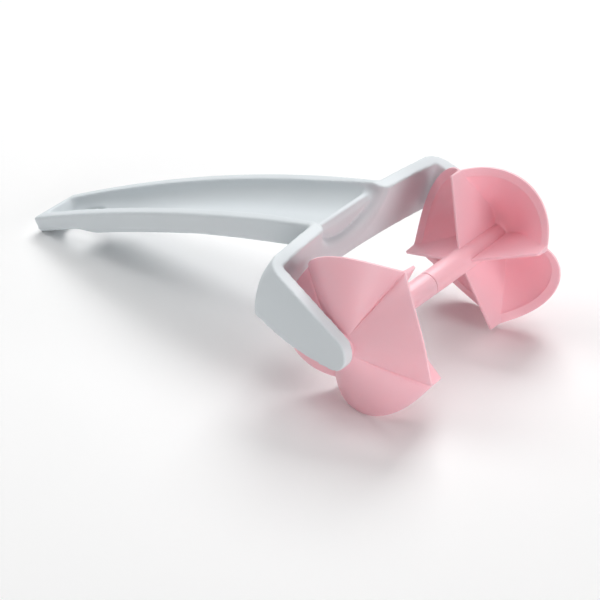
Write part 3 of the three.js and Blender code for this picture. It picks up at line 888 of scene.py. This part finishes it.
        # Outside of the dish, hub and pivot pin
        hub, pin, face, end = c.hub_radius, c.pin_radius, c.half_length, c.half_length + c.pin_length
        all_turns = [t for _, t, _ in lower]
        outer_radii = (rim, rim - soft, *DISH_RADII, hub + 2 * soft, hub)
        self.add_grid([[(r, t, self.outside(r, t)) for t in all_turns] for r in outer_radii])
        self.add_turned(all_turns, [
            (hub, self.dish), (hub, self.dish + soft), (hub, face - soft), (hub - soft, face),
            (pin + soft, face), (pin, face), (pin, face + soft), (pin, end - 2 * soft),
            (pin - 2 * soft, end), (pin * END_RING, end), (0, end),
        ])
        return self


def petal_wheel_tree():
    """Geometry Nodes that set a petal sector round the axle, weld the sectors and round them off."""
    tree = bpy.data.node_groups.new("petal_wheel", "GeometryNodeTree")
    sockets = {}
    for name, kind in (
        ("Sector", "Geometry"),
        ("Petals", "Int"),
        ("Turn", "Float"),
        ("Axle", "Vector"),
        ("Weld", "Float"),
        ("Smoothness", "Int"),
        ("Plastic", "Material"),
    ):
        socket = tree.interface.new_socket(name, in_out="INPUT", socket_type="NodeSocket" + kind)
        sockets[name] = socket.identifier
    tree.interface.new_socket("Cutter", in_out="OUTPUT", socket_type="NodeSocketGeometry")
    given = add_node(tree, "NodeGroupInput").outputs
    places = add_node(tree, "GeometryNodeMeshLine", {"Count": given["Petals"], "Offset": (0, 0, 0)})
    step = add_node(tree, "ShaderNodeMath", {0: 2 * pi, 1: given["Petals"]}, operation="DIVIDE")
    turns = {0: add_node(tree, "GeometryNodeInputIndex"), 1: step, 2: given["Turn"]}
    turn = add_node(tree, "ShaderNodeMath", turns, operation="MULTIPLY_ADD")
    back = add_node(tree, "ShaderNodeMath", {0: turn, 1: -1}, operation="MULTIPLY")
    about_axle = add_node(tree, "ShaderNodeCombineXYZ", {"Y": back})
    cutter = add_node(
        tree,
        "GeometryNodeInstanceOnPoints",
        {"Points": places, "Instance": given["Sector"], "Rotation": about_axle},
    )
    for kind, inputs in (
        ("RealizeInstances", {}),
        ("Transform", {"Translation": given["Axle"]}),
        ("MergeByDistance", {"Distance": given["Weld"]}),
        ("SubdivisionSurface", {"Level": given["Smoothness"]}),
        ("RealizeInstances", {}),
        ("SetMaterial", {"Material": given["Plastic"]}),
    ):
        cutter = add_node(tree, "GeometryNode" + kind, {0: cutter, **inputs})
    add_node(tree, "NodeGroupOutput", {"Cutter": cutter})
    return tree, sockets


class PASTRYWHEEL_OT_cutters(bpy.types.Operator):
    """Build both halves of the roller, each a petal-edged wheel on half of the rod"""

    bl_idname = "pastrywheel.cutters"
    bl_label = "Cutters"

    def execute(self, context):
        settings = context.scene.pastry_wheel
        c = settings.cutters
        base, streak = settings.finishes.roller, settings.finishes.roller_streak
        plastic = moulded_plastic("moulded_pink_polypropylene", base, streak, roughness=0.36, glow=0.3)
        tree, sockets = petal_wheel_tree()
        rod, soft = c.rod_radius, c.softness
        end, plug = c.seam_offset + c.seam_gap / 2, c.plug_radius
        plug_end = c.seam_offset - c.plug_length
        with_plug = [
            (rod, end + 2 * soft), (rod, end + soft), (rod - soft, end), (plug + soft, end),
            (plug, end), (plug, end - soft), (plug, plug_end + 2 * soft),
            (plug - 2 * soft, plug_end), (plug * END_RING, plug_end), (0, plug_end),
        ]
        mouth = -c.seam_offset + c.seam_gap / 2
        hole = plug + c.plug_clearance
        floor = c.plug_length + c.plug_clearance - c.seam_offset
        with_socket = [
            (rod, mouth + 2 * soft), (rod, mouth + soft), (rod - soft, mouth), (hole + soft, mouth),
            (hole, mouth + soft), (hole, mouth + 2 * soft), (hole, floor - soft), (hole, floor),
            (hole - soft, floor), (hole * END_RING, floor), (0, floor),
        ]
        for name, side, turn, rod_end in (
            ("left_cutter", 1, c.left_turn, with_plug),
            ("right_cutter", -1, c.left_turn + c.stagger, with_socket),
        ):
            sector = PetalSector(c).build(rod_end)
            points = [(x, side * y, z) for x, y, z in sector.points]
            piece = mesh_object(name + "_sector", points, sector.faces)
            wheel = piece.modifiers.new("Petal wheel", "NODES")
            wheel.node_group = tree
            values = {"Petals": c.petals, "Turn": turn, "Axle": axle, "Weld": WELD}
            values |= {"Smoothness": c.smoothness, "Plastic": plastic}
            for key, value in values.items():
                wheel[sockets[key]] = value
            piece = finished(piece, "pink_" + name)
            facing_outwards(piece)
            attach(piece, "roller")
            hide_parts(name)
        return {"FINISHED"}


WHITE = (1, 1, 1, 1)
# Middle of the floor to its sides, and place and width of each soft lamp, in metres
FLOOR_REACH = 3
LAMPS = {
    "overhead": ((0, 0, 1.5), 0.9),
    "back": ((-0.32, 0.91, 1.15), 0.9),
    "left": ((-0.88, -0.4, 1.13), 0.9),
    "wheel_side": ((1.45, 0, 0.38), 0.7),
    "front": ((0.67, -1.32, 0.26), 0.5),
}
LAMP_AIM = Vector((0, 0, 20)) * MM
CAMERA_AIM = Vector((32.64, -20.07, 20)) * MM
CAMERA_RANGE = (0.05, 20)


class PASTRYWHEEL_OT_stage(bpy.types.Operator):
    """Set up the white floor, the soft lamps and the camera"""

    bl_idname = "pastrywheel.stage"
    bl_label = "Stage"

    def execute(self, context):
        scene = context.scene
        settings = scene.pastry_wheel
        scene.view_settings.view_transform = "Standard"
        self.lay_floor(settings.finishes.floor)
        scene.world = self.studio()
        for name, (place, width) in LAMPS.items():
            self.lamp(name, getattr(settings.stage, name), Vector(place), width)
        scene.camera = self.camera(settings.stage)
        return {"FINISHED"}

    def lay_floor(self, white):
        """Matt paper: no gloss, so that only the soft shadow shows on it."""
        r = FLOOR_REACH
        floor = mesh_object("floor", [(-r, -r, 0), (r, -r, 0), (r, r, 0), (-r, r, 0)], [(0, 1, 2, 3)])
        paper = bpy.data.materials.new("white_paper")
        tree = empty_tree(paper)
        matt = add_node(tree, "ShaderNodeBsdfDiffuse", {"Color": white})
        add_node(tree, "ShaderNodeOutputMaterial", {"Surface": matt})
        floor.data.materials.append(paper)

    def studio(self):
        """White where it is seen, directly or in gloss, but no lamp: it adds no light to matt faces."""
        world = bpy.data.worlds.new("studio")
        tree = empty_tree(world)
        path = add_node(tree, "ShaderNodeLightPath").outputs
        seen = path["Is Camera Ray"]
        for ray in ("Is Glossy Ray", "Is Transmission Ray"):
            seen = add_node(tree, "ShaderNodeMath", {0: seen, 1: path[ray]}, operation="ADD", use_clamp=True)
        sky = add_node(tree, "ShaderNodeBackground", {"Color": WHITE, "Strength": seen})
        add_node(tree, "ShaderNodeOutputWorld", {"Surface": sky})
        return world

    def lamp(self, name, watts, place, width):
        """A square soft lamp that points at the middle of the object."""
        light = bpy.data.lights.new(name, "AREA")
        light.energy = watts
        light.size = width
        obj = in_scene(name, light)
        obj.location = place
        obj.rotation_mode = "QUATERNION"
        obj.rotation_quaternion = (LAMP_AIM - place).to_track_quat("-Z", "Y")

    def camera(self, stage):
        """Long lens from the wheel end, above the right-hand wheel."""
        camera = in_scene("camera", bpy.data.cameras.new("camera"))
        camera.data.lens = stage.lens
        camera.data.clip_start, camera.data.clip_end = CAMERA_RANGE
        a, e = stage.azimuth, stage.elevation
        back = Vector((sin(a) * cos(e), -cos(a) * cos(e), sin(e)))
        camera.location = CAMERA_AIM + back * stage.distance
        camera.rotation_mode = "QUATERNION"
        camera.rotation_quaternion = (-back).to_track_quat("-Z", "Y") @ Quaternion((0, 0, 1), stage.roll)
        return camera


class PASTRYWHEEL_PT_panel(bpy.types.Panel):
    """Buttons and sizes of the pastry wheel"""

    bl_idname = "PASTRYWHEEL_PT_panel"
    bl_label = "Pastry wheel"
    bl_space_type = "VIEW_3D"
    bl_region_type = "UI"
    bl_category = "Pastry wheel"

    def draw(self, context):
        settings = context.scene.pastry_wheel
        for operator in STEPS:
            self.layout.operator(operator.bl_idname)
        for name in settings.__annotations__:
            box = self.layout.box()
            group = getattr(settings, name)
            for key in group.__annotations__:
                box.prop(group, key)


STEPS = (PASTRYWHEEL_OT_handle, PASTRYWHEEL_OT_cutters, PASTRYWHEEL_OT_stage)
GROUPS = (CutterSizes, ForkSizes, TraySizes, Finishes, StageSettings, PastryWheelSettings)
CLASSES = (*GROUPS, *STEPS, PASTRYWHEEL_PT_panel)


def register():
    for cls in CLASSES:
        bpy.utils.register_class(cls)
    bpy.types.Scene.pastry_wheel = PointerProperty(type=PastryWheelSettings)


def unregister():
    del bpy.types.Scene.pastry_wheel
    for cls in reversed(CLASSES):
        bpy.utils.unregister_class(cls)


def main():
    register()
    bpy.ops.pastrywheel.handle()
    bpy.ops.pastrywheel.cutters()
    bpy.ops.pastrywheel.stage()


if __name__ == "__main__":
    main()
